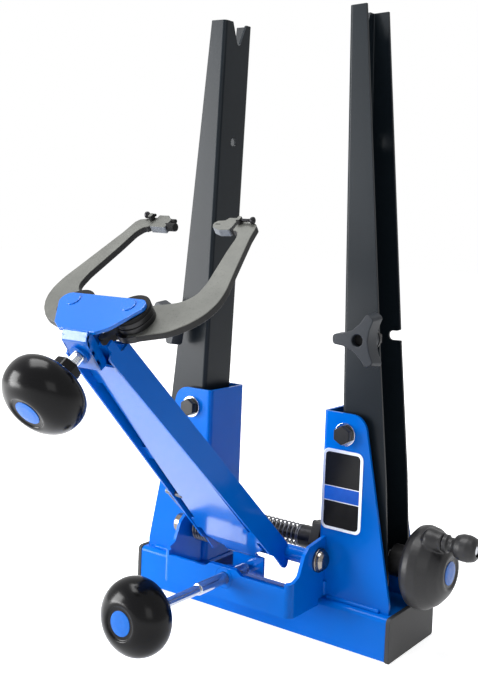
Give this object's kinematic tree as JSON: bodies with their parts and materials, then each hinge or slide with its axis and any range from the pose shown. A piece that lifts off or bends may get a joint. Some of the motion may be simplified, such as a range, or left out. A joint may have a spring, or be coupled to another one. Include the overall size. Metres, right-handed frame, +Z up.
{
  "type": "bicycle wheel truing stand",
  "caption": "Bench stand for truing bicycle wheels: a crank spreads two notched uprights that hold the axle, and a tilting arm carries two rim fingers set by knobs.",
  "frame": {"origin": "on the bench top, at the middle of the base channel's footprint", "axes": "+X to the crank's side, +Y to the back, away from the caliper arm, +Z up"},
  "size_m": [0.2988, 0.3219, 0.48],
  "materials": {
    "blue_paint": "gloss",
    "black_paint": "satin",
    "cap_plastic": "matte",
    "label_print": "satin",
    "zinc": "bright",
    "black_steel": "oiled",
    "spring_steel": "oiled",
    "jaw_steel": "matte",
    "knob_plastic": "gloss",
    "thumb_plastic": "satin",
    "medallion_blue": "gloss"
  },
  "bodies": {
    "stand": {"base_channel": "blue_paint", "end_cap_right": "cap_plastic", "end_cap_left": "cap_plastic", "front_bracket": "blue_paint", "right_tower": "blue_paint", "left_tower": "blue_paint", "label_plate": "label_print", "upright_pivot_bolts": "black_steel", "upright_pivot_washers": "zinc", "upright_pivot_nuts": "black_steel", "upright_spacers": "zinc", "arm_pivot_bolts": "black_steel", "screw_bush": "blue_paint", "main_spring": "spring_steel"},
    "right_upright": {"right_upright": "black_paint", "thumb_stud_right": "black_steel"},
    "left_upright": {"left_upright": "black_paint", "thumb_stud_left": "black_steel"},
    "right_thumb_knob": {"thumb_knob_right": "thumb_plastic"},
    "left_thumb_knob": {"thumb_knob_left": "thumb_plastic"},
    "crank": {"threaded_rod": "black_steel", "crank_lock_nut": "zinc", "crank_hub": "black_steel", "crank_wheel": "knob_plastic", "crank_medallion": "medallion_blue"},
    "crank_grip": {"crank_grip": "knob_plastic"},
    "right_sleeve": {"right_sleeve": "black_steel", "right_set_collar": "black_steel", "right_barrel_nut": "black_steel"},
    "left_sleeve": {"left_sleeve": "black_steel", "left_set_collar": "black_steel", "left_barrel_nut": "black_steel"},
    "arm": {"pivot_tube": "blue_paint", "outer_arm": "blue_paint", "inner_plate": "blue_paint", "torsion_spring": "spring_steel", "head_plate": "blue_paint", "jaw_rivets": "zinc", "jaw_washers": "black_steel"},
    "right_jaw": {"right_caliper_jaw": "jaw_steel", "right_tip_block": "jaw_steel", "right_tip_screw": "zinc"},
    "left_jaw": {"left_caliper_jaw": "jaw_steel", "left_tip_block": "jaw_steel", "left_tip_screw": "zinc"},
    "upper_nose": {"upper_nose": "black_steel"},
    "upper_knob": {"upper_screw": "zinc", "upper_knob": "knob_plastic", "upper_medallion": "medallion_blue"},
    "lower_nose": {"lower_nose": "zinc"},
    "lower_knob": {"lower_screw": "zinc", "lower_knob": "knob_plastic", "lower_medallion": "medallion_blue"}
  },
  "joints": [
    {"name": "crank_turn", "type": "hinge", "parent": "stand", "child": "crank", "pos_m": [0, -0.0042, 0.0666], "axis": [1, 0, 0], "range_deg": [-590.1, 885.4]},
    {"name": "crank_grip_spin", "type": "hinge", "parent": "crank", "child": "crank_grip", "pos_m": [0.16, -0.015, 0.0916], "axis": [1, 0, 0], "continuous": true},
    {"name": "right_upright_tilt", "type": "hinge", "parent": "stand", "child": "right_upright", "pos_m": [0.0742, 0, 0.1604], "axis": [0, 1, 0], "range_deg": [-4, 6]},
    {"name": "left_upright_tilt", "type": "hinge", "parent": "stand", "child": "left_upright", "pos_m": [-0.0742, 0, 0.1604], "axis": [0, 1, 0], "range_deg": [-6, 4]},
    {"name": "right_sleeve_slide", "type": "slide", "parent": "stand", "child": "right_sleeve", "axis": [1, 0, 0], "range_m": [-0.01, 0.0067], "deforming": ["main_spring"]},
    {"name": "left_sleeve_slide", "type": "slide", "parent": "stand", "child": "left_sleeve", "axis": [1, 0, 0], "range_m": [-0.0067, 0.01]},
    {"name": "right_thumb_turn", "type": "hinge", "parent": "right_upright", "child": "right_thumb_knob", "pos_m": [0.08849, -0.035, 0.23345], "axis": [0, 1, 0], "continuous": true},
    {"name": "left_thumb_turn", "type": "hinge", "parent": "left_upright", "child": "left_thumb_knob", "pos_m": [-0.08849, -0.035, 0.23345], "axis": [0, 1, 0], "continuous": true},
    {"name": "lower_screw_feed", "type": "slide", "parent": "stand", "child": "lower_nose", "axis": [0, 1, 0], "range_m": [-0.0036, 0.0088]},
    {"name": "lower_screw_turn", "type": "hinge", "parent": "lower_nose", "child": "lower_knob", "pos_m": [0, -0.15, 0.045], "axis": [0, 1, 0], "range_deg": [-1022, 2510]},
    {"name": "arm_swing", "type": "hinge", "parent": "stand", "child": "arm", "pos_m": [0, -0.0384, 0.0639], "axis": [1, 0, 0], "range_deg": [-11, 27]},
    {"name": "upper_screw_feed", "type": "slide", "parent": "arm", "child": "upper_nose", "axis": [0, 0.7986, 0.6018], "range_m": [-0.0074, 0.004]},
    {"name": "upper_screw_turn", "type": "hinge", "parent": "upper_nose", "child": "upper_knob", "pos_m": [0, -0.25549, 0.21393], "axis": [0, 0.7986, 0.6018], "range_deg": [-2107, 1123]},
    {"name": "right_jaw_swing", "type": "hinge", "parent": "arm", "child": "right_jaw", "pos_m": [0.024, -0.20757, 0.25004], "axis": [0, -0.6018, 0.7986], "range_deg": [-15, 8]},
    {"name": "left_jaw_swing", "type": "hinge", "parent": "arm", "child": "left_jaw", "pos_m": [-0.024, -0.20757, 0.25004], "axis": [0, -0.6018, 0.7986], "range_deg": [-8, 15]}
  ],
  "couplings": [
    {"joint": "right_upright_tilt", "follows": "crank_turn", "ratio": 0.0067726},
    {"joint": "left_upright_tilt", "follows": "crank_turn", "ratio": -0.0067726},
    {"joint": "right_sleeve_slide", "follows": "crank_turn", "m_per_rad": -0.00063662},
    {"joint": "left_sleeve_slide", "follows": "crank_turn", "m_per_rad": 0.00063662},
    {"joint": "lower_screw_feed", "follows": "lower_screw_turn", "m_per_rad": 0.00019894},
    {"joint": "arm_swing", "follows": "lower_screw_turn", "ratio": 0.010754},
    {"joint": "upper_screw_feed", "follows": "upper_screw_turn", "m_per_rad": 0.00019894},
    {"joint": "right_jaw_swing", "follows": "upper_screw_turn", "ratio": 0.0071154},
    {"joint": "left_jaw_swing", "follows": "upper_screw_turn", "ratio": -0.0071154}
  ]
}
